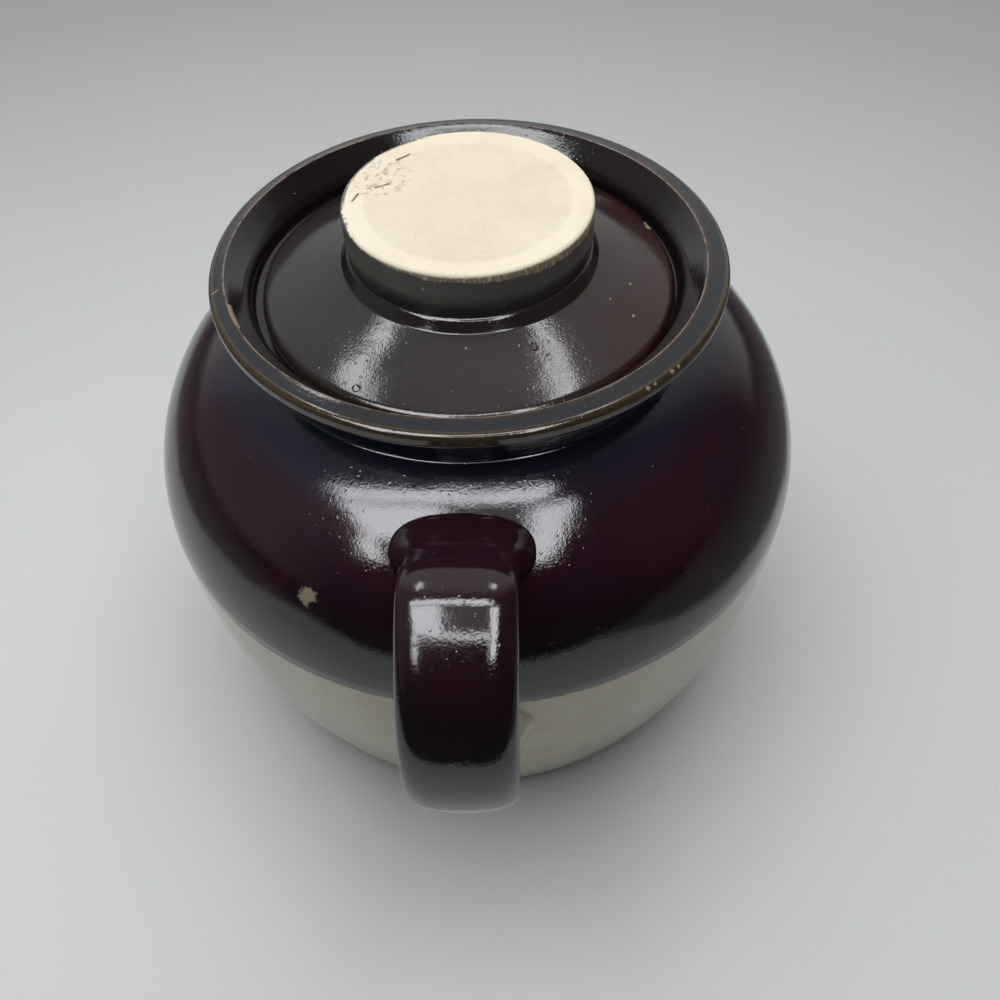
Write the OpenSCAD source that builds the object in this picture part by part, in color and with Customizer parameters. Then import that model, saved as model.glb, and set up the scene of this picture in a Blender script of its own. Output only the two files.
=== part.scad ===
// Stoneware bean pot: a round-bellied body with a flared collar, a strap handle stuck on
// one side, and a loose lid with a wide flat knob that drops into a seat inside the collar.
// The origin is on the pot's axis in the plane of its foot. +Z is up, the handle is at -Y.

/* [Belly] */
// Radius of the belly at its widest
belly_r = 90.5; // [89:0.5:91.5]
// Height of the widest place
belly_z = 82; // [80:0.5:82.5]
// Radius of the bend over the shoulder
shoulder_bend = 53.5; // [53:0.5:54]
// Radius of the long bend from the widest place down to the foot
flank_bend = 190; // [170:5:220]
// Rounding at the edge of the foot
foot_round = 7; // [4:0.5:9]
// Thickness of the wall
wall = 7; // [6:0.5:8]
// Thickness of the floor of the pot
floor_t = 9; // [7:0.5:12]
// Bend where the wall meets the floor inside
floor_round = 12; // [8:1:16]

/* [Collar] */
// Outer radius of the neck
neck_r = 56.5; // [56:0.25:57.5]
// Bend where the neck meets the shoulder
neck_round = 5; // [4:0.5:5]
// Outer radius of the collar
collar_r = 64.25; // [63:0.25:65]
// Height of the collar's inner edge, the highest place on the body
collar_z = 148.5; // [148.5:0.5:150]
// Width of the land on top of the collar
land_w = 4.6; // [4:0.1:5]
// Fall of the land towards its outer edge
land_fall = 0.5; // [0.2:0.1:0.8]
// Height of the collar's outer face, with its rounded edges
collar_face = 4.4; // [3.6:0.2:4.6]

/* [Lid seat] */
// Radius of the recess that the lid drops into
seat_r = 54; // [53:0.5:54.5]
// Height of the ledge that carries the lid
seat_z = 138; // [137:0.5:138.5]
// Height of the upright foot of the recess's wall
recess_foot = 2.2; // [1.2:0.2:3]
// Radius of the opening inside the ledge
throat_r = 46.5; // [45:0.5:47.5]

/* [Lid] */
// Radius of the lid
lid_r = 52; // [50:0.5:52.5]
// Thickness of the lid at its edge
lid_edge_t = 3.9; // [3.7:0.1:5]
// Slope of the lid's top, from level
lid_slope = 19; // [16:1:20]
// Width of the flat ring under the lid's edge
lid_foot_w = 5.5; // [5:0.5:6]
// Rise of the hollow under the lid
lid_hollow = 4.6; // [3:0.2:5]

/* [Knob] */
// Radius of the knob where it stands on the lid
knob_r = 30; // [28:0.2:32]
// Height of the knob's top above the foot of the pot
knob_top_z = 163; // [160:0.5:168]
// How far the knob's side swells out above its foot
knob_swell = 0.3; // [0:0.1:1.5]
// Rounding of the knob's top edge
knob_round = 1.1; // [0.8:0.1:3]
// Bend between the lid's top and the knob
knob_fillet = 3.5; // [2:0.5:4]

/* [Handle] */
// Width of the strap
strap_w = 26; // [23:0.5:28]
// Thickness of the strap
strap_t = 10.5; // [9:0.5:12]
// How far the strap spreads, all round, where it is stuck to the wall
root_spread = 3.6; // [2.4:0.2:5]
// Distance from the wall at which it starts to spread
root_reach = 9; // [6:0.5:12]
// Rise of the strap out of the shoulder, from level
strap_rise = 30; // [28:1:32]
// Radius of the bend at the strap's crest
crest_r = 7; // [6.5:0.5:8]
// Turn of that bend
crest_turn = 61; // [59:1:63]
// Radius of the slow bend that follows, under the palm
palm_r = 47; // [44:1:50]
// Turn of that bend
palm_turn = 20; // [18:1:22]
// Radius of the long bend that the fingers hold
grip_r = 36.25; // [35.25:0.25:37.5]
// Turn of that bend
grip_turn = 63; // [61:1:65]
// Radius of the bend back to the belly
tail_r = 15; // [14:0.5:17]
// Turn of that bend
tail_turn = 69; // [66:1:72]

/* [Hidden] */
$fn = 144;

dark_glaze = [0.16, 0.07, 0.08];
lid_glaze = [0.24, 0.12, 0.09];
bare_clay = [0.85, 0.77, 0.62];
arc_step = 4.5;

// Points on a bend about c, from angle a0 to a1, about arc_step mm apart
function bend(c, r, a0, a1) =
    let (n = max(3, ceil(r * abs(a1 - a0) * PI / 180 / arc_step)))
    [for (i = [0:n]) let (a = a0 + (a1 - a0) * i / n) c + r * [cos(a), sin(a)]];
// The other short side of a right triangle
function leg(long, short) = sqrt(long * long - short * short);
function angle_of(v) = atan2(v[1], v[0]);

// Belly: two bends that meet at the widest place, and the same two set in by the wall
shoulder_c = [belly_r - shoulder_bend, belly_z];
flank_c = [belly_r - flank_bend, belly_z];
foot_c = [flank_c[0] + leg(flank_bend - foot_round, belly_z - foot_round), foot_round];
foot_a = angle_of(foot_c - flank_c);
neck_x = neck_r + neck_round;
neck_c = [neck_x, belly_z + leg(shoulder_bend + neck_round, neck_x - shoulder_c[0])];
neck_a = angle_of(neck_c - shoulder_c);
in_shoulder = shoulder_bend - wall;
in_flank = flank_bend - wall;
well_z = floor_t + floor_round;
well_c = [flank_c[0] + leg(in_flank - floor_round, belly_z - well_z), well_z];
well_a = angle_of(well_c - flank_c);
lip_round = 3;
lip_x = throat_r + lip_round;
lip_c = [lip_x, belly_z + leg(in_shoulder + lip_round, lip_x - shoulder_c[0])];
lip_a = angle_of(lip_c - shoulder_c);

// Collar: the rounded edges of its face, the sloping side below, and the land on top
face_round = 1.6;
edge_round = 0.8;
under_round = 5;
under_slope = 20;
inner_round = 0.6;
face_z = collar_z - land_fall;
low_c = [collar_r - face_round, face_z - collar_face + face_round];
top_c = [collar_r - edge_round, face_z - edge_round];
under_end = low_c + face_round * [sin(under_slope), -cos(under_slope)];
under_x = neck_r + under_round * (1 - sin(under_slope));
under_c = [
    neck_r + under_round,
    under_end[1] - (under_end[0] - under_x) * tan(under_slope)
        - under_round * cos(under_slope)
];
inner_c = [collar_r - land_w, collar_z - inner_round];

// Recess: its wall leaves the ledge upright and leans out to the collar's inner edge
recess_round = 6;
ledge_round = 1;
throat_round = 1.5;
recess_c = [seat_r + recess_round, seat_z + recess_foot];
recess_reach = inner_c - recess_c;
slope_a = angle_of(recess_reach) + acos((recess_round - inner_round) / norm(recess_reach));

// Outside of the pot, from the middle of the foot to the collar's inner edge
outside = concat(
    [[0, 0]],
    bend(foot_c, foot_round, -90, foot_a),
    bend(flank_c, flank_bend, foot_a, 0),
    bend(shoulder_c, shoulder_bend, 0, neck_a),
    bend(neck_c, neck_round, 180 + neck_a, 180),
    bend(under_c, under_round, 180, 90 + under_slope),
    bend(low_c, face_round, under_slope - 90, 0),
    bend(top_c, edge_round, 0, 90),
    bend(inner_c, inner_round, 90, slope_a)
);

// Inside of the pot, from there down over the seat to the middle of the floor
inside = concat(
    bend(recess_c, recess_round, slope_a, 180),
    bend([seat_r - ledge_round, seat_z + ledge_round], ledge_round, 0, -90),
    bend([throat_r + throat_round, seat_z - throat_round], throat_round, 90, 180),
    bend(lip_c, lip_round, 180, 180 + lip_a),
    bend(shoulder_c, in_shoulder, lip_a, 0),
    bend(flank_c, in_flank, 0, well_a),
    bend(well_c, floor_round, well_a, -90),
    [[0, floor_t]]
);

// Lid: a flat ring rests on the ledge, the top slopes up to the bend round the knob
lid_low_round = 1;
lid_top_round = 2.6;
lid_top_c = [lid_r - lid_top_round, seat_z + lid_edge_t - lid_top_round];
lid_top_edge = lid_top_c + lid_top_round * [sin(lid_slope), cos(lid_slope)];
fillet_x = knob_r + knob_fillet;
fillet_foot_x = fillet_x - knob_fillet * sin(lid_slope);
knob_z = lid_top_edge[1] + (lid_top_edge[0] - fillet_foot_x) * tan(lid_slope)
    + knob_fillet * cos(lid_slope);
hollow_foot_r = lid_r - lid_low_round - lid_foot_w;
hollow_top_r = 24;

// Knob: its side swells to half its height, its top is dished a little
knob_dish = 0.4;
knob_rim_w = 5;
knob_edge_c = [knob_r + knob_swell - knob_round, knob_top_z - knob_round];
knob_mid_z = (knob_z + knob_edge_c[1]) / 2;

// Handle: the middle of the strap starts inside the shoulder and ends inside the belly
strap_start = [70.5, 118.5];
strap_lead = 17.45;
strap_tail = 9;
strap_squareness = 2.6;
section_points = 32;
run_step = 1.2;
turn_step = 6;

// A straight run and a bend, each as steps of equal length and turn
function run(length) =
    let (n = ceil(length / run_step)) [for (i = [1:n]) [length / n, 0]];
function turned(r, turn) =
    let (n = ceil(turn / turn_step)) [for (i = [1:n]) [r * turn * PI / 180 / n, -turn / n]];
strap_steps = concat(
    run(strap_lead),
    turned(crest_r, crest_turn),
    turned(palm_r, palm_turn),
    turned(grip_r, grip_turn),
    turned(tail_r, tail_turn),
    run(strap_tail)
);
last_step = len(strap_steps) - 1;

// One step on from p along heading h: s is the step's length and its turn
function step_on(p, h, s) = p + s[0] * [cos(h + s[1] / 2), sin(h + s[1] / 2)];
// Every station of the strap: its place in the handle's plane and its heading
stations = [
    for (
        i = 0, p = strap_start, h = strap_rise;
        i <= last_step + 1;
        s = strap_steps[min(i, last_step)], p = step_on(p, h, s), h = h + s[1], i = i + 1
    )
        [p, h]
];

// Distance from the wall's outside to a point at that radius and height
function off_wall(at) = at[1] > belly_z
    ? norm(at - shoulder_c) - shoulder_bend
    : norm(at - flank_c) - flank_bend;
// How far the strap has spread at that distance from the wall
function spread(gap) = root_spread * pow(1 - min(1, max(0, gap) / root_reach), 2);
// Rounded strap section, between an ellipse and a rectangle
function squared(v) = sign(v) * pow(abs(v), 2 / strap_squareness);
// The point of a station's section that lies at v from its middle: across, and up
function in_space(st, v) =
    [v[0], -(st[0][0] - v[1] * sin(st[1])), st[0][1] + v[1] * cos(st[1])];
function section(st) = [
    for (k = [0:section_points - 1])
        let (
            a = 360 * k / section_points,
            v = [strap_w * squared(cos(a)), strap_t * squared(sin(a))] / 2,
            at = in_space(st, v)
        )
        in_space(st, v + spread(off_wall([norm([at[0], at[1]]), at[2]])) * [cos(a), sin(a)])
];

// Skin over a row of sections with n points each
module skin(rings) {
    n = len(rings[0]);
    last = len(rings) - 1;
    sides = [
        for (i = [0:last - 1], k = [0:n - 1])
            let (a = i * n + k, b = i * n + (k + 1) % n)
                each [[a, a + n, b], [b, a + n, b + n]]
    ];
    ends = [[for (k = [0:n - 1]) k], [for (k = [n - 1:-1:0]) last * n + k]];
    polyhedron([for (r = rings) each r], concat(sides, ends));
}

// The pot as if it were solid, to cut the handle's ends to the wall
module pot_solid() {
    rotate_extrude() polygon(concat(outside, [[0, collar_z]]));
}

module pot_body() {
    color(dark_glaze) rotate_extrude() polygon(concat(outside, inside));
}

module strap_handle() {
    color(dark_glaze) difference() {
        skin([for (st = stations) section(st)]);
        pot_solid();
    }
}

module lid_plate() {
    color(lid_glaze) rotate_extrude() polygon(concat(
        [[0, seat_z + lid_hollow], [hollow_top_r, seat_z + lid_hollow]],
        [[hollow_foot_r, seat_z]],
        bend([lid_r - lid_low_round, seat_z + lid_low_round], lid_low_round, -90, 0),
        bend(lid_top_c, lid_top_round, 0, 90 - lid_slope),
        bend([fillet_x, knob_z], knob_fillet, 270 - lid_slope, 180),
        [[0, knob_z]]
    ));
}

module lid_knob() {
    color(bare_clay) rotate_extrude() polygon(concat(
        [[0, knob_z], [knob_r, knob_z], [knob_r + knob_swell, knob_mid_z]],
        bend(knob_edge_c, knob_round, 0, 90),
        [[knob_edge_c[0] - knob_rim_w, knob_top_z - knob_dish], [0, knob_top_z - knob_dish]]
    ));
}

pot_body();
strap_handle();
lid_plate();
lid_knob();
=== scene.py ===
"""The looks of a stoneware bean pot: glazed body and strap handle, lid with a bare-topped knob.

Everything stands in the part's own frame: the origin is in the middle of the foot, +Z is up
and the handle is at -Y. Lengths are written in millimetres, and MM turns them into metres.
"""

import math

import bpy
from mathutils import Matrix, Vector, noise


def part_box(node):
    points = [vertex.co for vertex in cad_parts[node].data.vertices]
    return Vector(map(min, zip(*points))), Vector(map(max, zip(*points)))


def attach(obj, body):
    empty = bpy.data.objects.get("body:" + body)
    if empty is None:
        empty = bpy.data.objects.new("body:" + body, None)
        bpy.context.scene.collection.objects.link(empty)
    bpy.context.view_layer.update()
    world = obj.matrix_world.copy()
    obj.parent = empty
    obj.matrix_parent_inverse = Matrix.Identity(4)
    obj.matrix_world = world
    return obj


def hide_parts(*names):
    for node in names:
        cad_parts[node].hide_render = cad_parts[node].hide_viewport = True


MM = 0.001

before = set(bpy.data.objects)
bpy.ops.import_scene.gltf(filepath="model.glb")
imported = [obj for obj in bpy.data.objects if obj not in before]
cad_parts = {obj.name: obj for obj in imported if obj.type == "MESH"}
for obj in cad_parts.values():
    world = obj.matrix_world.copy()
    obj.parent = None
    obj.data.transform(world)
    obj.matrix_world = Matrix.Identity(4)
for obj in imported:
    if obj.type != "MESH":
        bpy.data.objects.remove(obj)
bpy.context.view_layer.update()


# ---------------------------------------------------------------- sizes
def size_of(node):
    """Lowest and highest corner of a solid, in millimetres."""
    low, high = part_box(node)
    return low / MM, high / MM


_, body_high = size_of("pot_body")
lid_low, lid_high = size_of("lid_plate")
knob_low, knob_high = size_of("lid_knob")

# Body
BELLY_R = body_high.x
BELLY_Z = 82.0
SHOULDER_BEND = 53.5
FLANK_BEND = 190.0
FOOT_ROUND = 7.0
FOOT_RING_W = 9.0
FOOT_HOLLOW = 1.2
WALL = 7.0
FLOOR_T = 9.0
FLOOR_ROUND = 12.0

# Collar and seat
NECK_R = 56.5
NECK_ROUND = 0.7
COLLAR_R = 64.25
COLLAR_Z = body_high.z
LAND_W = 4.6
LAND_FALL = 0.5
COLLAR_FACE = 4.4
FACE_ROUND = 1.6
EDGE_ROUND = 1.7
UNDER_ROUND = 5.0
UNDER_SLOPE = 20.0
INNER_ROUND = 0.6
SEAT_R = 54.0
SEAT_Z = lid_low.z
THROAT_R = 46.5
RECESS_FOOT = 2.2
RECESS_ROUND = 6.0
LEDGE_ROUND = 1.0
THROAT_ROUND = 1.5
LIP_ROUND = 3.0

# Lid and knob
LID_R = lid_high.x
LID_EDGE_T = 3.9
LID_SLOPE = 19.0
LID_FOOT_W = 5.5
LID_HOLLOW = 4.6
LID_HOLLOW_R = 24.0
LID_LOW_ROUND = 1.0
LID_TOP_ROUND = 2.6
SKIRT_SLOPE = 58.0
SKIRT_ROUND = 0.8
KNOB_SWELL = 0.3
KNOB_R = knob_high.x - KNOB_SWELL
KNOB_Z = knob_low.z
KNOB_TOP_Z = knob_high.z
KNOB_ROUND = 1.1
KNOB_DISH = 0.4
KNOB_RIM_W = 5.0

# How far the thrown parts sit off the pot's axis
RECESS_SHIFT = Vector((-0.9, 0.3, 0))
LID_SHIFT = Vector((-0.35, -0.5, 0))
KNOB_SHIFT = Vector((0.25, 0, 0))

# Handle: the middle of the strap runs straight, then round four bends, then straight
STRAP_W = 26.0
STRAP_T = 10.5
ROOT_SPREAD = 3.6
ROOT_REACH = 9.0
STRAP_START = Vector((70.5, 118.5))
STRAP_RISE = 30.0
STRAP_RUNS = ((17.45, 0.0), (7.0, 61.0), (47.0, 20.0), (36.25, 63.0), (15.0, 69.0), (9.0, 0.0))
STRAP_SQUARENESS = 2.6
STRAP_PITCH = 0.8
STRAP_POINTS = 80

# Glazes
GLAZE_Z = 84.2
HANDLE_GLAZE_Z = 86.5
COAT_T = 0.2
COAT_EDGE = (-0.6, 0.2)
EDGE_WAVES = ((0.45, 45.0, 3.0), (0.2, 9.0, 7.0))

# Shallow hollows that the making left: depth in mm, width in mm and the noise's seed.
# At the collar the body's are shallower, by COLLAR_TRUER mm.
BODY_HOLLOW = 0.16
BODY_HOLLOW_W = 38.0
COLLAR_TRUER = 0.12
BODY_GRAIN = ((0.02, 6.0, 2.0),)
LID_HOLLOWS = ((0.05, 22.0, 5.0), (0.02, 5.0, 1.0))
KNOB_HOLLOWS = ((0.04, 12.0, 4.0), (0.03, 2.5, 8.0))
STRAP_HOLLOWS = ((0.08, 20.0, 6.0), (0.03, 6.0, 9.0))

# Where one rule gives way to the next, in mm: below the collar's top, about the recess,
# and between the knob's shift and the lid's
TRUER_FROM, TRUER_TO = 14, 7
RECESS_EASE = 8
LAND_EASE = (0.2, 2.7)
SHIFT_EASE = (36, 46)

# The glaze starts to run thin at the first curvature and is thinnest at the second, in 1/mm
SHARP = (0.12, 1.1)
FACE_THIN = 0.45

# Points round each turned piece
BODY_TURNS = 480
LID_TURNS = 420


# ---------------------------------------------------------------- outlines
def bend(centre, radius, start, end, pitch=1.2):
    """Points about pitch mm apart on an arc about centre, from angle start to angle end."""
    steps = max(4, math.ceil(radius * math.radians(abs(end - start)) / pitch))
    angles = [math.radians(start + (end - start) * i / steps) for i in range(steps + 1)]
    return [centre + radius * Vector((math.cos(a), math.sin(a))) for a in angles]


def straight(a, b, pitch=1.2):
    """Points between a and b, without the two ends."""
    steps = max(1, math.ceil((b - a).length / pitch))
    return [a.lerp(b, i / steps) for i in range(1, steps)]


def joined(*stretches):
    """One outline from arcs and points, with the straight lines between them filled in."""
    outline = [stretches[0][0]]
    for stretch in stretches:
        outline += straight(outline[-1], stretch[0]) + stretch
    return [p for i, p in enumerate(outline) if i == 0 or (p - outline[i - 1]).length > 1e-4]


def leg(long, short):
    """The other short side of a right triangle."""
    return math.sqrt(long * long - short * short)


def angle_of(v):
    return math.degrees(math.atan2(v.y, v.x))


def direction(angle):
    return Vector((math.cos(math.radians(angle)), math.sin(math.radians(angle))))


SHOULDER_C = Vector((BELLY_R - SHOULDER_BEND, BELLY_Z))
FLANK_C = Vector((BELLY_R - FLANK_BEND, BELLY_Z))
INNER_C = Vector((COLLAR_R - LAND_W, COLLAR_Z - INNER_ROUND))
RECESS_C = Vector((SEAT_R + RECESS_ROUND, SEAT_Z + RECESS_FOOT))
RECESS_REACH = INNER_C - RECESS_C
RECESS_A = angle_of(RECESS_REACH) + math.degrees(
    math.acos((RECESS_ROUND - INNER_ROUND) / RECESS_REACH.length)
)


def outside_outline():
    """From the foot's hollow over the belly, the shoulder and the neck to the collar's land."""
    foot_c = FLANK_C + Vector((leg(FLANK_BEND - FOOT_ROUND, BELLY_Z - FOOT_ROUND), 0))
    foot_c.y = FOOT_ROUND
    foot_a = angle_of(foot_c - FLANK_C)
    ring_in = foot_c.x - FOOT_RING_W
    neck_x = NECK_R + NECK_ROUND
    neck_c = Vector((neck_x, BELLY_Z + leg(SHOULDER_BEND + NECK_ROUND, neck_x - SHOULDER_C.x)))
    neck_a = angle_of(neck_c - SHOULDER_C)
    face_z = COLLAR_Z - LAND_FALL
    low_c = Vector((COLLAR_R - FACE_ROUND, face_z - COLLAR_FACE + FACE_ROUND))
    top_c = Vector((COLLAR_R - EDGE_ROUND, face_z - EDGE_ROUND))
    under_end = low_c + FACE_ROUND * direction(UNDER_SLOPE - 90)
    under_c = Vector((NECK_R + UNDER_ROUND, 0))
    under_x = NECK_R + UNDER_ROUND * (1 - math.sin(math.radians(UNDER_SLOPE)))
    under_c.y = under_end.y - (under_end.x - under_x) * math.tan(math.radians(UNDER_SLOPE))
    under_c.y -= UNDER_ROUND * math.cos(math.radians(UNDER_SLOPE))
    return joined(
        [Vector((0, FOOT_HOLLOW)), Vector((ring_in - FOOT_HOLLOW, FOOT_HOLLOW))],
        bend(Vector((ring_in, FOOT_HOLLOW)), FOOT_HOLLOW, 180, 270, 0.4),
        bend(foot_c, FOOT_ROUND, -90, foot_a),
        bend(FLANK_C, FLANK_BEND, foot_a, 0),
        bend(SHOULDER_C, SHOULDER_BEND, 0, neck_a, 0.9),
        bend(neck_c, NECK_ROUND, 180 + neck_a, 180, 0.3),
        bend(under_c, UNDER_ROUND, 180, 90 + UNDER_SLOPE, 0.4),
        bend(low_c, FACE_ROUND, UNDER_SLOPE - 90, 0, 0.25),
        bend(top_c, EDGE_ROUND, 0, 90, 0.2),
        bend(INNER_C, INNER_ROUND, 90, RECESS_A, 0.15),
    )


def inside_outline():
    """From the collar's land down over the seat and the throat to the middle of the floor."""
    in_shoulder = SHOULDER_BEND - WALL
    in_flank = FLANK_BEND - WALL
    lip_x = THROAT_R + LIP_ROUND
    lip_c = Vector((lip_x, BELLY_Z + leg(in_shoulder + LIP_ROUND, lip_x - SHOULDER_C.x)))
    lip_a = angle_of(lip_c - SHOULDER_C)
    well_z = FLOOR_T + FLOOR_ROUND
    well_c = FLANK_C + Vector((leg(in_flank - FLOOR_ROUND, BELLY_Z - well_z), 0))
    well_c.y = well_z
    well_a = angle_of(well_c - FLANK_C)
    ledge_c = Vector((SEAT_R - LEDGE_ROUND, SEAT_Z + LEDGE_ROUND))
    throat_c = Vector((THROAT_R + THROAT_ROUND, SEAT_Z - THROAT_ROUND))
    return joined(
        bend(RECESS_C, RECESS_ROUND, RECESS_A, 180, 0.4),
        bend(ledge_c, LEDGE_ROUND, 0, -90, 0.25),
        bend(throat_c, THROAT_ROUND, 90, 180, 0.3),
        bend(lip_c, LIP_ROUND, 180, 180 + lip_a, 0.5),
        bend(SHOULDER_C, in_shoulder, lip_a, 0, 2.5),
        bend(FLANK_C, in_flank, 0, well_a, 3.0),
        bend(well_c, FLOOR_ROUND, well_a, -90, 1.5),
        [Vector((0, FLOOR_T))],
    )


def lid_outline():
    """From the middle of the hollow under the lid, round its edge, up to the knob's foot."""
    hollow_foot = LID_R - LID_LOW_ROUND - LID_FOOT_W
    low_c = Vector((LID_R - LID_LOW_ROUND, SEAT_Z + LID_LOW_ROUND))
    top_c = Vector((LID_R - LID_TOP_ROUND, SEAT_Z + LID_EDGE_T - LID_TOP_ROUND))
    knob_foot = Vector((KNOB_R, KNOB_Z))
    down_lid, down_skirt = direction(-LID_SLOPE), direction(-SKIRT_SLOPE)
    top_edge = top_c + LID_TOP_ROUND * direction(90 - LID_SLOPE)
    reach = knob_foot - top_edge
    along = (reach.x * down_lid.y - reach.y * down_lid.x) / (
        down_lid.x * down_skirt.y - down_lid.y * down_skirt.x
    )
    skirt_foot = knob_foot + along * down_skirt
    tangent = SKIRT_ROUND * math.tan(math.radians((SKIRT_SLOPE - LID_SLOPE) / 2))
    skirt_c = skirt_foot + tangent * down_lid + SKIRT_ROUND * direction(90 - LID_SLOPE)
    return joined(
        [Vector((0, SEAT_Z + LID_HOLLOW)), Vector((LID_HOLLOW_R, SEAT_Z + LID_HOLLOW))],
        [Vector((hollow_foot, SEAT_Z))],
        bend(low_c, LID_LOW_ROUND, -90, 0, 0.25),
        bend(top_c, LID_TOP_ROUND, 0, 90 - LID_SLOPE, 0.25),
        bend(skirt_c, SKIRT_ROUND, 270 - LID_SLOPE, 270 - SKIRT_SLOPE, 0.1),
        [knob_foot, Vector((0, KNOB_Z))],
    )


def knob_outline():
    """From the middle of the knob's foot up its swelling side and over the dished top."""
    edge_c = Vector((KNOB_R + KNOB_SWELL - KNOB_ROUND, KNOB_TOP_Z - KNOB_ROUND))
    mid_z = (KNOB_Z + edge_c.y) / 2
    rim = Vector((edge_c.x - KNOB_RIM_W, KNOB_TOP_Z - KNOB_DISH))
    return joined(
        [Vector((0, KNOB_Z)), Vector((KNOB_R, KNOB_Z)), Vector((KNOB_R + KNOB_SWELL, mid_z))],
        bend(edge_c, KNOB_ROUND, 0, 90, 0.25),
        [rim, Vector((0, rim.y))],
    )


# ---------------------------------------------------------------- meshes
def smooth_step(low, high, x):
    t = min(1.0, max(0.0, (x - low) / (high - low)))
    return t * t * (3 - 2 * t)


def uneven(point, size, seed=0.0):
    """Soft noise from -1 to 1 whose humps are about size mm wide."""
    return noise.noise(Vector(point) / size + Vector((seed, -seed, 0.5 * seed)))


def hollows(point, waves):
    """How deep a point lies in the shallow hollows of one surface, in mm."""
    return sum(depth * (1 + uneven(point, size, seed)) for depth, size, seed in waves)


def normals_of(outline):
    """Unit normals of an outline that has its solid on the left."""
    made = []
    for i in range(len(outline)):
        along = outline[min(i + 1, len(outline) - 1)] - outline[max(i - 1, 0)]
        made.append(Vector((along.y, -along.x)).normalized())
    return made


def thinness_of(outline):
    """How thin the glaze runs at each point: 1 on a sharp outer edge, 0 on flats and hollows."""
    made = [0.0]
    for a, b, c in zip(outline, outline[1:], outline[2:]):
        first, second = b - a, c - b
        turn = math.atan2(first.x * second.y - first.y * second.x, first.dot(second))
        made.append(smooth_step(*SHARP, 2 * turn / (first.length + second.length)))
    return made + [0.0]


def mesh_piece(name, points, faces, **layers):
    """A smooth mesh in millimetres, with each layer as a value at every point."""
    mesh = bpy.data.meshes.new(name)
    mesh.from_pydata([p * MM for p in points], [], faces)
    for layer, values in layers.items():
        mesh.attributes.new(layer, "FLOAT", "POINT").data.foreach_set("value", values)
    mesh.shade_smooth()
    piece = bpy.data.objects.new(name, mesh)
    bpy.context.scene.collection.objects.link(piece)
    return piece


def lathe(name, outline, thinness, turns, shaped):
    """Turns an outline about the axis. Both of its ends lie on the axis.

    shaped(point, normal) gives the moved point and the height that goes into the layer "dip":
    above the edge of the dark glaze on the pot, and above the foot on the lid and knob.
    """
    normals = normals_of(outline)
    points, thin, dip = [], [], []

    def add(i, turn):
        at = Vector((math.cos(turn), math.sin(turn), 0))
        point = at * outline[i].x + Vector((0, 0, outline[i].y))
        normal = at * normals[i].x + Vector((0, 0, normals[i].y))
        moved, above = shaped(point, normal)
        points.append(moved)
        thin.append(thinness[i])
        dip.append(above)

    last = len(outline) - 1
    for i in range(1, last):
        for k in range(turns):
            add(i, 2 * math.pi * k / turns)
    add(0, 0.0)
    add(last, 0.0)
    low_pole, high_pole = len(points) - 2, len(points) - 1
    top_row = (last - 2) * turns
    faces = []
    for k in range(turns):
        after = (k + 1) % turns
        faces.append((low_pole, after, k))
        faces.append((high_pole, top_row + k, top_row + after))
        for i in range(last - 2):
            a, b = i * turns + k, i * turns + after
            faces.append((a, b, b + turns, a + turns))
    return mesh_piece(name, points, faces, thin=thin, dip=dip)


def coat_of(point, line):
    """Height above the glaze's wavy lower edge, in mm."""
    above = point.z - line
    for depth, size, seed in EDGE_WAVES:
        above -= depth * uneven(point, size, seed)
    return above


def body_shape(point, normal):
    dip = coat_of(point, GLAZE_Z)
    across = Vector((point.x, point.y, 0))
    outside = smooth_step(-0.2, 0.2, normal.dot(across.normalized()))
    collar = smooth_step(COLLAR_Z - TRUER_FROM, COLLAR_Z - TRUER_TO, point.z)
    sunk = hollows(point, ((BODY_HOLLOW - COLLAR_TRUER * collar, BODY_HOLLOW_W, 0.0),))
    sunk += COAT_T * (1 - smooth_step(*COAT_EDGE, dip))
    sunk += hollows(point, BODY_GRAIN)
    in_recess = smooth_step(SEAT_Z - RECESS_EASE, SEAT_Z, point.z)
    in_recess *= 1 - smooth_step(INNER_C.x + LAND_EASE[0], INNER_C.x + LAND_EASE[1], across.length)
    return point - normal * sunk * outside + RECESS_SHIFT * in_recess, dip


def lid_shape(point, normal):
    radius = math.hypot(point.x, point.y)
    top = smooth_step(0.2, 0.5, normal.z)
    sunk = hollows(point, LID_HOLLOWS)
    shift = KNOB_SHIFT.lerp(LID_SHIFT, smooth_step(*SHIFT_EASE, radius))
    return point - normal * sunk * top + shift, point.z


def knob_shape(point, normal):
    on_lid = point.z < KNOB_Z + 0.1
    sunk = 0.0 if on_lid else hollows(point, KNOB_HOLLOWS)
    return point - normal * sunk + KNOB_SHIFT, point.z


def off_wall(point):
    """Distance from the outside of the pot's wall to a point."""
    at = Vector((math.hypot(point.x, point.y), point.z))
    if point.z > BELLY_Z:
        return (at - SHOULDER_C).length - SHOULDER_BEND
    return (at - FLANK_C).length - FLANK_BEND


def strap_stations():
    """The middle of the strap: each place and the heading there."""
    place, heading = STRAP_START.copy(), STRAP_RISE
    made = [(place.copy(), heading)]
    for size, turn in STRAP_RUNS:
        length = size * math.radians(turn) if turn else size
        steps = math.ceil(length / STRAP_PITCH)
        for _ in range(steps):
            place = place + length / steps * direction(heading - turn / steps / 2)
            heading -= turn / steps
            made.append((place.copy(), heading))
    return made


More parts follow.
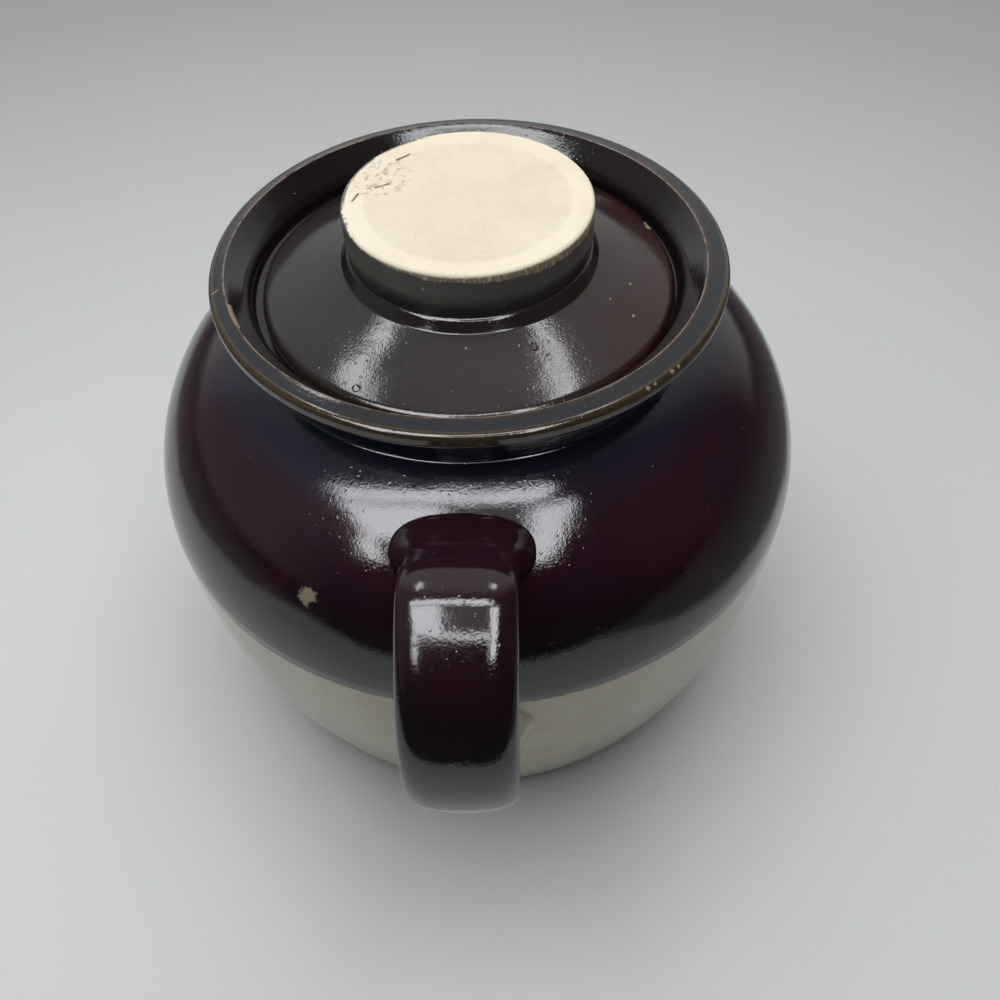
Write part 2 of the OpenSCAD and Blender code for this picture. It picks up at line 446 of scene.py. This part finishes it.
def strap_mesh():
    """The strap as a sweep that spreads on the wall at both ends."""

    def squared(v):
        return math.copysign(abs(v) ** (2 / STRAP_SQUARENESS), v)

    def in_space(place, up, across, rise):
        spot = place + up * rise
        return Vector((across, -spot.x, spot.y))

    points = []
    stations = strap_stations()
    for place, heading in stations:
        up = direction(heading + 90)
        for k in range(STRAP_POINTS):
            way = direction(360 * k / STRAP_POINTS)
            across, rise = STRAP_W / 2 * squared(way.x), STRAP_T / 2 * squared(way.y)
            at = in_space(place, up, across, rise)
            gap = min(1.0, max(0.0, off_wall(at)) / ROOT_REACH)
            out = ROOT_SPREAD * (1 - gap) ** 2
            out -= hollows(at, STRAP_HOLLOWS)
            points.append(in_space(place, up, across + out * way.x, rise + out * way.y))
    n, rows = STRAP_POINTS, len(stations)
    faces = [
        (i * n + k, (i + 1) * n + k, (i + 1) * n + (k + 1) % n, i * n + (k + 1) % n)
        for i in range(rows - 1)
        for k in range(n)
    ]
    faces.append(tuple(range(n)))
    faces.append(tuple((rows - 1) * n + k for k in reversed(range(n))))
    dip = [coat_of(p, HANDLE_GLAZE_Z) for p in points]
    return mesh_piece("glazed_strap", points, faces, thin=[0.0] * len(points), dip=dip)


# ---------------------------------------------------------------- materials
def on_pot(azimuth, radius, height):
    """The point at an azimuth in degrees, a distance from the axis and a height, in mm."""
    flat = radius * direction(azimuth)
    return Vector((flat.x, flat.y, height))


def on_shoulder(azimuth, height):
    """The point of the shoulder's outside at an azimuth and a height."""
    return on_pot(azimuth, SHOULDER_C.x + leg(SHOULDER_BEND, height - SHOULDER_C.y), height)


def lid_height(radius):
    """Height of the lid's slope at a distance from the axis."""
    run = LID_R - LID_TOP_ROUND - radius
    return SEAT_Z + LID_EDGE_T + run * math.tan(math.radians(LID_SLOPE))


class Finish:
    """A node material, with short calls for the nodes that the finishes share."""

    def __init__(self, name):
        self.material = bpy.data.materials.new(name)
        self.material.use_nodes = True
        self.tree = self.material.node_tree
        self.tree.nodes.clear()
        output = self.tree.nodes.new("ShaderNodeOutputMaterial")
        self.shader = self.tree.nodes.new("ShaderNodeBsdfPrincipled")
        self.tree.links.new(self.shader.outputs[0], output.inputs["Surface"])
        self.place = self.node("TexCoord", {}, "Object")
        self.fray = self.noise(0.9, 2.0)

    def set(self, **values):
        """Sets the shader's inputs. Their names are written with _ for a space."""
        for name, value in values.items():
            self.put(self.shader.inputs[name.replace("_", " ")], value)

    def put(self, socket, value):
        if isinstance(value, bpy.types.NodeSocket):
            self.tree.links.new(value, socket)
        else:
            socket.default_value = value

    def node(self, kind, inputs, output=0, **settings):
        made = self.tree.nodes.new("ShaderNode" + kind)
        for key, value in settings.items():
            setattr(made, key, value)
        for key, value in inputs.items():
            self.put(made.inputs[key], value)
        return made.outputs[output]

    def math(self, operation, a, b=0.0, c=0.0):
        return self.node("Math", {0: a, 1: b, 2: c}, operation=operation)

    def vector(self, operation, a, b=(0, 0, 0), output="Vector"):
        return self.node("VectorMath", {0: a, 1: b}, output, operation=operation)

    def layer(self, name):
        return self.node("Attribute", {}, "Fac", attribute_name=name)

    def axes(self):
        """The place along x, along y and along z, in mm."""
        scaled = self.vector("MULTIPLY", self.place, (1 / MM,) * 3)
        return [self.node("SeparateXYZ", {"Vector": scaled}, axis) for axis in "XYZ"]

    def noise(self, size, detail=2.0, roughness=0.5, place=None):
        """Noise from 0 to 1 whose humps are about size mm wide."""
        inputs = {"Vector": place or self.place, "Scale": 1 / (size * MM)}
        inputs.update({"Detail": detail, "Roughness": roughness})
        return self.node("TexNoise", inputs, "Fac")

    def between(self, value, low, high, from_=0.0, to=1.0):
        """value eased from one number to another as it goes from low to high."""
        inputs = {"Value": value, "From Min": low, "From Max": high, "To Min": from_, "To Max": to}
        return self.node("MapRange", inputs, "Result", interpolation_type="SMOOTHSTEP")

    def mix(self, share, a, b):
        made = self.tree.nodes.new("ShaderNodeMix")
        made.data_type = "RGBA"
        for name, value in (("Factor_Float", share), ("A_Color", a), ("B_Color", b)):
            socket = next(s for s in made.inputs if s.identifier == name)
            if isinstance(value, tuple):
                value = (*value, 1.0)
            self.put(socket, value)
        return next(s for s in made.outputs if s.identifier == "Result_Color")

    def most(self, *values):
        """The greatest of several values."""
        made = values[0]
        for value in values[1:]:
            made = self.math("MAXIMUM", made, value)
        return made

    def spots(self, size, share, radius):
        """Small round dots: one in each cell of size mm, in that share of the cells."""
        made = self.tree.nodes.new("ShaderNodeTexVoronoi")
        self.put(made.inputs["Vector"], self.place)
        self.put(made.inputs["Scale"], 1 / (size * MM))
        chosen = self.node("SeparateColor", {"Color": made.outputs["Color"]}, "Red")
        edge = radius / size
        near = self.between(made.outputs["Distance"], 0.4 * edge, edge, 1.0, 0.0)
        return self.math("MULTIPLY", near, self.math("LESS_THAN", chosen, share))

    def within(self, away, radius):
        """1 at no distance, falling to 0 at a ragged edge about radius mm away."""
        frayed = self.math("MULTIPLY_ADD", self.fray, radius * MM, -0.5 * radius * MM)
        return self.between(
            self.math("ADD", away, frayed), 0.6 * radius * MM, 1.1 * radius * MM, 1.0, 0.0
        )

    def near(self, centre, radius):
        """A ragged spot round a place in mm."""
        away = self.vector("DISTANCE", self.place, tuple(centre * MM), "Value")
        return self.within(away, radius)

    def scratch(self, start, end, half_width):
        """A ragged line from one place in mm to another."""
        way = (end - start) * MM
        from_start = self.vector("SUBTRACT", self.place, tuple(start * MM))
        share = self.vector("DOT_PRODUCT", from_start, tuple(way / way.length_squared), "Value")
        share = self.node("Clamp", {"Value": share}, "Result")
        nearest = self.vector("MULTIPLY", share, tuple(way))
        return self.within(self.vector("DISTANCE", from_start, nearest, "Value"), half_width)

    def raise_by(self, height, distance, normal=None):
        """Bump: height from 0 to 1 stands for distance mm."""
        inputs = {"Height": height, "Distance": distance * MM, "Strength": 1.0}
        if normal:
            inputs["Normal"] = normal
        return self.node("Bump", inputs, "Normal")


# Colours, in linear light
PLUM = (0.0155, 0.0052, 0.0105)
PLUM_RED = (0.0215, 0.0048, 0.0095)
LOW_BLACK = (0.003, 0.0025, 0.003)
# Painted shade with a bluish painted reflection, for the neck under the collar
NECK_SHADE_BLUE = (0.011, 0.0145, 0.031)
LAND_GREY = (0.0065, 0.007, 0.010)
RECESS_BROWN = (0.010, 0.0065, 0.0075)
OLIVE = (0.040, 0.026, 0.013)
THIN_EDGE = (0.20, 0.14, 0.095)
EDGE_BAND = (0.085, 0.072, 0.048)
CREAM = (0.365, 0.335, 0.25)
CREAM_PALE = (0.42, 0.39, 0.30)
# Pale pinholes, partly painted glints; also the painted highlight on the strap's crease and the
# knob's pale dots
PINHOLE_AND_GLINT = (0.32, 0.29, 0.29)
CHIP = (0.24, 0.21, 0.135)
HANDLE_PLUM = (0.0060, 0.0046, 0.0065)
HANDLE_RED = (0.014, 0.0040, 0.0075)
CLAY = (0.735, 0.65, 0.485)
CLAY_PALE = (0.79, 0.705, 0.545)
# Bare clay darkened as painted shade: the knob's side, and the clay in the notches
SHADED_CLAY = (0.25, 0.185, 0.12)
CLAY_BROWN = (0.21, 0.14, 0.075)
LID_BROWN = (0.024, 0.0165, 0.0165)
LID_RED = (0.019, 0.0045, 0.004)
LID_GREY = (0.015, 0.0115, 0.0105)
KNOB_GLAZE = (0.15, 0.142, 0.122)
KNOB_DARK = (0.11, 0.10, 0.09)

FLOOR = (0.61, 0.615, 0.605)
FLOOR_PALE = (0.63, 0.635, 0.625)
BESIDE_TABLE = (0.17, 0.17, 0.172)
BEFORE_TABLE = (0.012, 0.012, 0.013)

GLAZE_IOR = 1.58
GLOSS = 0.075
LID_GLOSS = 0.07

# Marks that show from the front. A place is an azimuth in degrees, a radius and a height in
# mm, or less where the surface gives the rest, and the last number is the size of the mark.
PIT = (-115.5, 107.0, 2.6)
PIT_HEART = (-114.2, 105.2, 1.9)
RIM_CHIPS = ((-50.5, 0.6), (-48.5, 0.5), (-43.5, 0.7), (-41.5, 0.5))
NOTCHES = (
    ((-159, 59.7, 148), (-151, 59.7, 148), 0.7),
    ((-166, 60.6, 148), (-164.5, 63.2, 148), 0.25),
)
# A painted highlight: a pale line on the crease where the strap's root meets the shoulder
STRAP_CREASE_HIGHLIGHT = (Vector((-6.5, -67, 126.2)), Vector((6.5, -67, 126.2)), 0.3)
STRAP_DASH = (Vector((-11.6, -110.5, 118)), Vector((-11.8, -113, 114)), 0.5)
LID_DOTS = (
    (-26, 38.0, 0.45), (-27, 44.5, 0.5), (-89, 35.3, 0.4), (-14, 40.7, 0.45),
    (22, 50.2, 1.3), (24, 50.6, 0.9),
)
LID_PITS = ((-119, 49.5, 1.1), (-65, 37.5, 1.1))
KNOB_DASH = ((-137, 30.1, 152.4), (-134, 30.1, 152.4), 0.3)
KNOB_DOTS = (((-107, 30.2, 158.6), 0.5), ((-72, 30.1, 153.6), 0.45))

# Marks on the knob's top, in mm from its middle: where each crack starts and ends, and a
# worn patch
KNOB_CRACKS = (((-27, -1), (-26, 2)), ((-22, 5), (-19, 6.5)), ((-18, 17), (-15, 19.5)))
CRACK_HALF_W = 0.35
WORN_AT = Vector((-22, 9, 0))
WORN_R = 9.0


def glossy_coat(finish, roughness=GLOSS):
    """Sets the glaze's gloss and returns its bump: orange peel, fine pitting and pinholes."""
    smear = finish.noise(16.0, 3.0)
    fine = finish.noise(0.9, 2.0)
    finish.set(IOR=GLAZE_IOR, Roughness=finish.math(
        "ADD",
        finish.between(smear, 0.35, 0.7, roughness, roughness + 0.05),
        finish.between(fine, 0.45, 0.75, 0.0, 0.05),
    ))
    waves = finish.raise_by(finish.noise(14.0, 1.0), 0.16)
    peel = finish.raise_by(finish.noise(2.0, 2.0), 0.022, waves)
    pocks = finish.raise_by(finish.spots(1.7, 0.5, 0.45), 0.02, peel)
    return finish.raise_by(finish.noise(0.6, 2.0, 0.6), 0.024, pocks)


def thinned(finish, base):
    """The glaze runs thin over a sharp edge: olive at first, pale on the edge itself."""
    streaks = finish.between(finish.noise(2.5, 3.0), 0.3, 0.6, 0.6, 1.0)
    thin = finish.math("MULTIPLY", finish.layer("thin"), streaks)
    base = finish.mix(finish.between(thin, 0.12, 0.4), base, OLIVE)
    return finish.mix(finish.between(thin, 0.55, 0.95), base, THIN_EDGE)


def body_glaze_colour(finish):
    """Nearly black at the belly, plum above it, blue-black painted shade with a bluish painted
    reflection at the neck under the collar, brown in the recess.
    """
    z = finish.axes()[2]
    cloud = finish.noise(24.0, 3.0)
    base = finish.mix(finish.between(cloud, 0.38, 0.62), PLUM, PLUM_RED)
    level = finish.math("MULTIPLY_ADD", cloud, 14.0, z)
    base = finish.mix(finish.between(level, 100, 122), LOW_BLACK, base)
    # The neck under the collar turns blue-black: painted shade with a bluish painted reflection.
    base = finish.mix(finish.between(level, 129, 140), base, NECK_SHADE_BLUE)
    base = finish.mix(finish.between(z, COLLAR_Z - 4, COLLAR_Z - 2), base, LAND_GREY)
    flat = finish.vector("MULTIPLY", finish.place, (1.0, 1.0, 0.0))
    radius = finish.vector("LENGTH", flat, output="Value")
    recess = finish.math(
        "MULTIPLY",
        finish.between(radius, INNER_C.x * MM, (INNER_C.x + 1.5) * MM, 1.0, 0.0),
        finish.between(z, SEAT_Z - 3, SEAT_Z - 1),
    )
    return finish.mix(recess, base, RECESS_BROWN)


def pitted(finish, base, normal):
    """Adds tiny pale pinholes to a glaze's colour and bump; the pale dots are partly painted
    glints.
    """
    pin = finish.most(finish.spots(2.6, 0.25, 0.16), finish.spots(7.0, 0.3, 0.26))
    base = finish.mix(finish.math("MULTIPLY", pin, 0.55), base, PINHOLE_AND_GLINT)
    return base, finish.raise_by(finish.math("SUBTRACT", 1.0, pin), 0.05, normal)


def dipped(finish, base):
    """Below the edge of the dark glaze: a narrow olive-brown band, and then the cream glaze."""
    above = finish.layer("dip")
    frayed = finish.between(finish.noise(2.2, 3.0), 0.0, 1.0, -0.45, 0.45)
    above = finish.math("ADD", above, frayed)
    cloud = finish.noise(30.0, 3.0)
    cream = finish.mix(finish.between(cloud, 0.35, 0.65), CREAM, CREAM_PALE)
    dots = finish.math("MULTIPLY", finish.spots(3.4, 0.25, 0.2), 0.5)
    cream = finish.mix(dots, cream, CLAY_BROWN)
    band = finish.mix(finish.between(above, -1.9, 0.2), EDGE_BAND, base)
    return finish.mix(finish.between(above, -2.7, -2.2), cream, band)


def body_finish():
    """The pot's two glazes, with the kiln marks that show from the front."""
    finish = Finish("two_tone_glaze")
    normal = glossy_coat(finish)
    dark, normal = pitted(finish, thinned(finish, body_glaze_colour(finish)), normal)
    pit = finish.math(
        "MULTIPLY",
        finish.near(on_shoulder(*PIT[:2]), PIT[2]),
        finish.math("SUBTRACT", 1.0, finish.near(on_shoulder(*PIT_HEART[:2]), PIT_HEART[2])),
    )
    chips = finish.most(*(
        finish.near(on_pot(azimuth, COLLAR_R - 0.4, COLLAR_Z - 1.0), radius)
        for azimuth, radius in RIM_CHIPS
    ))
    notches = finish.most(*(
        finish.scratch(on_pot(*start), on_pot(*end), half_width)
        for start, end, half_width in NOTCHES
    ))
    dark = finish.mix(finish.most(pit, chips), dark, CHIP)
    # The notches show bare clay in the same darkened clay tone that stands for shade.
    dark = finish.mix(notches, dark, SHADED_CLAY)
    marks = finish.most(pit, chips, notches)
    finish.set(Base_Color=dipped(finish, dark), Normal=finish.raise_by(marks, 0.12, normal))
    return finish.material


def strap_finish():
    """The handle's dark glaze: plum on its crest, nearly black below, with a dipped edge."""
    finish = Finish("strap_glaze")
    normal = glossy_coat(finish)
    level = finish.math("MULTIPLY_ADD", finish.noise(14.0, 3.0), 30.0, finish.axes()[2])
    dark = finish.mix(finish.between(level, 124, 138), HANDLE_PLUM, HANDLE_RED)
    dark, normal = pitted(finish, dark, normal)
    crease_highlight = finish.scratch(*STRAP_CREASE_HIGHLIGHT)
    dash = finish.scratch(*STRAP_DASH)
    # The pale line on the root's crease is a painted highlight.
    dark = finish.mix(finish.math("MULTIPLY", crease_highlight, 0.6), dark, PINHOLE_AND_GLINT)
    dark = finish.mix(dash, dark, CHIP)
    marks = finish.most(crease_highlight, dash)
    finish.set(Base_Color=dipped(finish, dark), Normal=finish.raise_by(marks, 0.1, normal))
    return finish.material


def lid_finish():
    """Thin brown glaze, redder to the right and greyer to the left, with pits and dots."""
    finish = Finish("lid_brown_glaze")
    normal = glossy_coat(finish, LID_GLOSS)
    x, _, z = finish.axes()
    cloud = finish.noise(18.0, 3.0)
    side = finish.math("MULTIPLY_ADD", cloud, 26.0, x)
    base = finish.mix(finish.between(side, -20, 22), LID_GREY, LID_BROWN)
    base = finish.mix(finish.between(side, 22, 60), base, LID_RED)
    base = thinned(finish, base)
    base, normal = pitted(finish, base, normal)
    dots = finish.most(*(
        finish.near(on_pot(azimuth, radius, lid_height(radius)), size)
        for azimuth, radius, size in LID_DOTS
    ))
    pits = finish.most(*(
        finish.near(on_pot(azimuth, radius, lid_height(radius)), size)
        for azimuth, radius, size in LID_PITS
    ))
    base = finish.mix(dots, base, CHIP)
    normal = finish.raise_by(finish.math("SUBTRACT", dots, pits), 0.15, normal)
    finish.set(Base_Color=base, Normal=normal)
    return finish.material


def knob_finish():
    """Bare clay on top, dark glaze on the side, with a torn edge between them."""
    finish = Finish("knob_clay_and_glaze")
    x, y, z = finish.axes()
    upright = finish.vector("MULTIPLY", finish.place, (1.0, 1.0, 0.3))
    torn = finish.math("ADD", finish.noise(1.3, 3.0, 0.6, upright), finish.noise(7.0, 2.0))
    lean = finish.math("MULTIPLY_ADD", x, -0.043, finish.math("MULTIPLY", y, 0.025))
    edge = finish.math("ADD", lean, finish.math("MULTIPLY_ADD", torn, 1.6, KNOB_TOP_Z - 3.0))
    flat = finish.vector("MULTIPLY", finish.place, (1.0, 1.0, 0.0))
    radius = finish.vector("LENGTH", flat, output="Value")
    bare = finish.most(
        finish.between(finish.math("SUBTRACT", z, edge), -0.12, 0.2),
        finish.between(radius, (KNOB_R - 1.3) * MM, (KNOB_R - 0.9) * MM, 1.0, 0.0),
    )

    grain = finish.noise(0.7, 4.0, 0.7)
    cloud = finish.noise(14.0, 4.0)
    clay = finish.mix(finish.between(cloud, 0.3, 0.7), CLAY, CLAY_PALE)
    clay = finish.mix(finish.between(grain, 0.62, 0.8, 0.0, 0.3), clay, CLAY_BROWN)
    streaks = finish.noise(0.6, 2.0, 0.6, upright)
    # Just below the top edge, the bare clay on the knob's side is painted darker in streaks:
    # painted shade.
    side = finish.mix(finish.between(streaks, 0.45, 0.8), SHADED_CLAY, CLAY)
    clay = finish.mix(finish.between(z, KNOB_TOP_Z - 0.9, KNOB_TOP_Z - 0.35), side, clay)
    speck = finish.most(finish.spots(2.2, 0.2, 0.2), finish.spots(5.0, 0.25, 0.3))
    clay = finish.mix(finish.math("MULTIPLY", speck, 0.55), clay, CLAY_BROWN)
    top = Vector((0, 0, KNOB_TOP_Z - KNOB_DISH))
    cracks = finish.most(*(
        finish.scratch(top + Vector((*start, 0)), top + Vector((*end, 0)), CRACK_HALF_W)
        for start, end in KNOB_CRACKS
    ))
    worn = finish.near(top + WORN_AT, WORN_R)
    scuffs = finish.between(finish.noise(1.6, 3.0), 0.52, 0.66, 0, 0.5)
    rubbed = finish.math("MULTIPLY", worn, scuffs)
    clay = finish.mix(finish.most(cracks, rubbed), clay, CLAY_BROWN)
    glaze = finish.mix(finish.between(cloud, 0.35, 0.65), KNOB_GLAZE, KNOB_DARK)
    dots = finish.most(
        finish.scratch(on_pot(*KNOB_DASH[0]), on_pot(*KNOB_DASH[1]), KNOB_DASH[2]),
        *(finish.near(on_pot(*place), size) for place, size in KNOB_DOTS),
    )
    glaze = finish.mix(dots, glaze, PINHOLE_AND_GLINT)

    gloss = finish.noise(8.0, 2.0)
    rough = finish.math("MULTIPLY", finish.math("ADD", grain, finish.noise(0.3, 2.0)), bare)
    normal = finish.raise_by(finish.noise(3.0), 0.03, finish.raise_by(rough, 0.1))
    finish.set(
        Base_Color=finish.mix(bare, glaze, clay),
        Roughness=finish.math(
            "MULTIPLY_ADD", bare, 0.4, finish.between(gloss, 0.3, 0.7, 0.3, 0.42)
        ),
        Normal=finish.raise_by(finish.math("SUBTRACT", 1.0, cracks), 0.2, normal),
    )
    return finish.material


# The floor as the glaze mirrors it: pale inside these lines, in mm, and dim outside them,
# over a soft border on each side of the line
TABLE_FRONT = -285
TABLE_LEFT = -320
TABLE_RIGHT = 185
FRONT_BORDER = 6
SIDE_BORDER = 15


def floor_finish():
    """A pale floor. What the glaze mirrors of it ends at the edges of the table."""
    finish = Finish("pale_floor")
    x, y, _ = finish.axes()
    mirrored = finish.node("LightPath", {}, "Is Glossy Ray")
    in_front = finish.between(y, TABLE_FRONT - FRONT_BORDER, TABLE_FRONT + FRONT_BORDER, 1.0, 0.0)
    beside = finish.most(
        finish.between(x, TABLE_RIGHT - SIDE_BORDER, TABLE_RIGHT + SIDE_BORDER),
        finish.between(x, TABLE_LEFT - SIDE_BORDER, TABLE_LEFT + SIDE_BORDER, 1.0, 0.0),
    )
    pale = finish.mix(finish.noise(60.0, 3.0), FLOOR, FLOOR_PALE)
    pale = finish.mix(finish.math("MULTIPLY", beside, mirrored), pale, BESIDE_TABLE)
    pale = finish.mix(finish.math("MULTIPLY", in_front, mirrored), pale, BEFORE_TABLE)
    finish.set(Base_Color=pale, Roughness=0.9, Specular_IOR_Level=0.2)
    return finish.material


# ---------------------------------------------------------------- pieces
def dress(piece, body, node, material):
    """Gives a piece its material, its body and the solid that it stands for."""
    piece.data.materials.append(material)
    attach(piece, body)
    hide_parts(node)


def face_too(outline, thinness):
    """The glaze is thin all over the collar's upright face, which has no sharp turn."""
    on_face = [p.x > COLLAR_R - 0.5 and p.y > COLLAR_Z - LAND_FALL - COLLAR_FACE for p in outline]
    return [max(t, FACE_THIN) if face else t for t, face in zip(thinness, on_face)]


pot_outline = joined(outside_outline(), inside_outline())
pot_thinness = face_too(pot_outline, thinness_of(pot_outline))
dress(
    lathe("glazed_body", pot_outline, pot_thinness, BODY_TURNS, body_shape),
    "pot", "pot_body", body_finish(),
)
dress(strap_mesh(), "pot", "strap_handle", strap_finish())
lid = lid_outline()
dress(
    lathe("lid_disc", lid, thinness_of(lid), LID_TURNS, lid_shape),
    "lid", "lid_plate", lid_finish(),
)
top = knob_outline()
dress(
    lathe("knob", top, [0.0] * len(top), LID_TURNS, knob_shape),
    "lid", "lid_knob", knob_finish(),
)


# ---------------------------------------------------------------- stage
FLOOR_HALF_W = 4.0  # metres

CAMERA_AT = (14.12, -207.16, 297.09)
CAMERA_RIGHT = Vector((0.9997, 0.0174, -0.0190))
CAMERA_UP = Vector((-0.0011, 0.7638, 0.6455))
SENSOR_W = 36.0
LENS = 35.98

LAMP_Z = 600.0
LAMP_TINT = (0.95, 0.965, 1.0)
LAMP = 9.5
LAMP_BACK = 0.8 * LAMP
LAMP_PANEL = 0.6
LAMP_MATT = 3.3

# Each lamp: its two ends and its width in mm, its radiance, and what it is for
LAMPS = {
    "cross": ((-430, -228), (195, -228), 72, LAMP, "gloss"),
    "left": ((-450, -420), (-78, -420), 280, LAMP, "gloss"),
    "near": ((-78, -527), (190, -527), 65, LAMP, "gloss"),
    "right": ((230, -290), (330, -800), 130, LAMP, "gloss"),
    "far_left": ((-450, -560), (-560, -850), 130, LAMP, "gloss"),
    "panel": ((-78, -382), (180, -382), 225, LAMP_PANEL, "gloss"),
    "back_left": ((-255, 30), (-255, 170), 75, LAMP_BACK, "gloss"),
    "back_right": ((175, 20), (175, 140), 55, LAMP_BACK, "gloss"),
    "overhead": ((-410, -80), (290, -80), 600, LAMP_MATT, "matt"),
}

# The world's strength behind the pot and overhead, beside it from -X to +X, and as the
# camera sees it; in front of the pot only a share of the strength beside it is left
WORLD_BEHIND = 0.62
WORLD_SIDES = (0.19, 0.03)
WORLD_FRONT_SHARE = 0.1
WORLD_SEEN = 0.5
WORLD_TINT = (0.98, 1.0, 1.0, 1.0)

# Where these meet: ways with y over the second number aren't in front, and those with
# OVERHEAD_SHARE * z * z + y over the second number are behind or overhead
FRONT_EASE = (-0.75, -0.35)
BEHIND_EASE = (0.36, 0.8)
OVERHEAD_SHARE = 0.55


def make_floor(half_width):
    corners = [Vector((x, y, 0)) for x, y in ((-1, -1), (1, -1), (1, 1), (-1, 1))]
    mesh = bpy.data.meshes.new("floor")
    mesh.from_pydata([c * half_width for c in corners], [], [(0, 1, 2, 3)])
    floor = bpy.data.objects.new("floor", mesh)
    bpy.context.scene.collection.objects.link(floor)
    mesh.materials.append(floor_finish())


def lamp_bar(name, start, end, width, radiance, lit):
    """A flat lamp over the pot that shines straight down, from start to end in mm.

    lit is "gloss" for a card that only the glaze mirrors, and "matt" for one that lights the
    colours and is not mirrored.
    """
    start, end = Vector(start), Vector(end)
    middle = (start + end) / 2
    light = bpy.data.lights.new(name, "AREA")
    light.shape = "RECTANGLE"
    light.size, light.size_y = (end - start).length * MM, width * MM
    light.color = LAMP_TINT
    light.energy = radiance * math.pi * light.size * light.size_y
    lamp = bpy.data.objects.new(name, light)
    lamp.location = Vector((middle.x, middle.y, LAMP_Z)) * MM
    lamp.rotation_euler.z = math.radians(angle_of(end - start))
    lamp.visible_diffuse = lit == "matt"
    lamp.visible_glossy = lit == "gloss"
    bpy.context.scene.collection.objects.link(lamp)


def make_world():
    """A room that is bright behind the pot and overhead, dim beside it and dark in front."""
    world = bpy.data.worlds.new("studio")
    bpy.context.scene.world = world
    world.use_nodes = True
    tree = world.node_tree
    tree.nodes.clear()

    def node(kind, inputs, output=0, **settings):
        made = tree.nodes.new("ShaderNode" + kind)
        for key, value in settings.items():
            setattr(made, key, value)
        for key, value in inputs.items():
            if isinstance(value, bpy.types.NodeSocket):
                tree.links.new(value, made.inputs[key])
            else:
                made.inputs[key].default_value = value
        return made.outputs[output]

    def eased(value, low, high, from_, to):
        inputs = {"Value": value, 1: low, 2: high, 3: from_, 4: to}
        return node("MapRange", inputs, interpolation_type="SMOOTHSTEP")

    way = node("TexCoord", {}, "Generated")
    x, y, z = (node("SeparateXYZ", {"Vector": way}, axis) for axis in "XYZ")
    overhead = node("Math", {0: z, 1: z}, operation="MULTIPLY")
    behind = node("Math", {0: overhead, 1: OVERHEAD_SHARE, 2: y}, operation="MULTIPLY_ADD")
    side = node("Math", {
        0: eased(x, -1.0, 1.0, *WORLD_SIDES),
        1: eased(y, *FRONT_EASE, WORLD_FRONT_SHARE, 1.0),
    }, operation="MULTIPLY")
    to_behind = eased(behind, *BEHIND_EASE, 0.0, 1.0)
    around = node("Mix", {"Factor": to_behind, "A": side, "B": WORLD_BEHIND})
    seen = node("LightPath", {}, "Is Camera Ray")
    strength = node("Mix", {"Factor": seen, "A": around, "B": WORLD_SEEN})
    surface = node("Background", {"Color": WORLD_TINT, "Strength": strength})
    output = tree.nodes.new("ShaderNodeOutputWorld")
    tree.links.new(surface, output.inputs["Surface"])


def make_camera():
    """The photograph's view: from above the handle, looking down into the collar."""
    data = bpy.data.cameras.new("camera")
    data.sensor_width = SENSOR_W
    data.lens = LENS
    camera = bpy.data.objects.new("camera", data)
    back = CAMERA_RIGHT.cross(CAMERA_UP)
    turned = Matrix((CAMERA_RIGHT, CAMERA_UP, back)).transposed().to_4x4()
    camera.matrix_world = Matrix.Translation([v * MM for v in CAMERA_AT]) @ turned
    bpy.context.scene.collection.objects.link(camera)
    bpy.context.scene.camera = camera


make_camera()
make_floor(FLOOR_HALF_W)
make_world()
for name, bar in LAMPS.items():
    lamp_bar("lamp_" + name, *bar)

bpy.context.scene.view_settings.view_transform = "Standard"
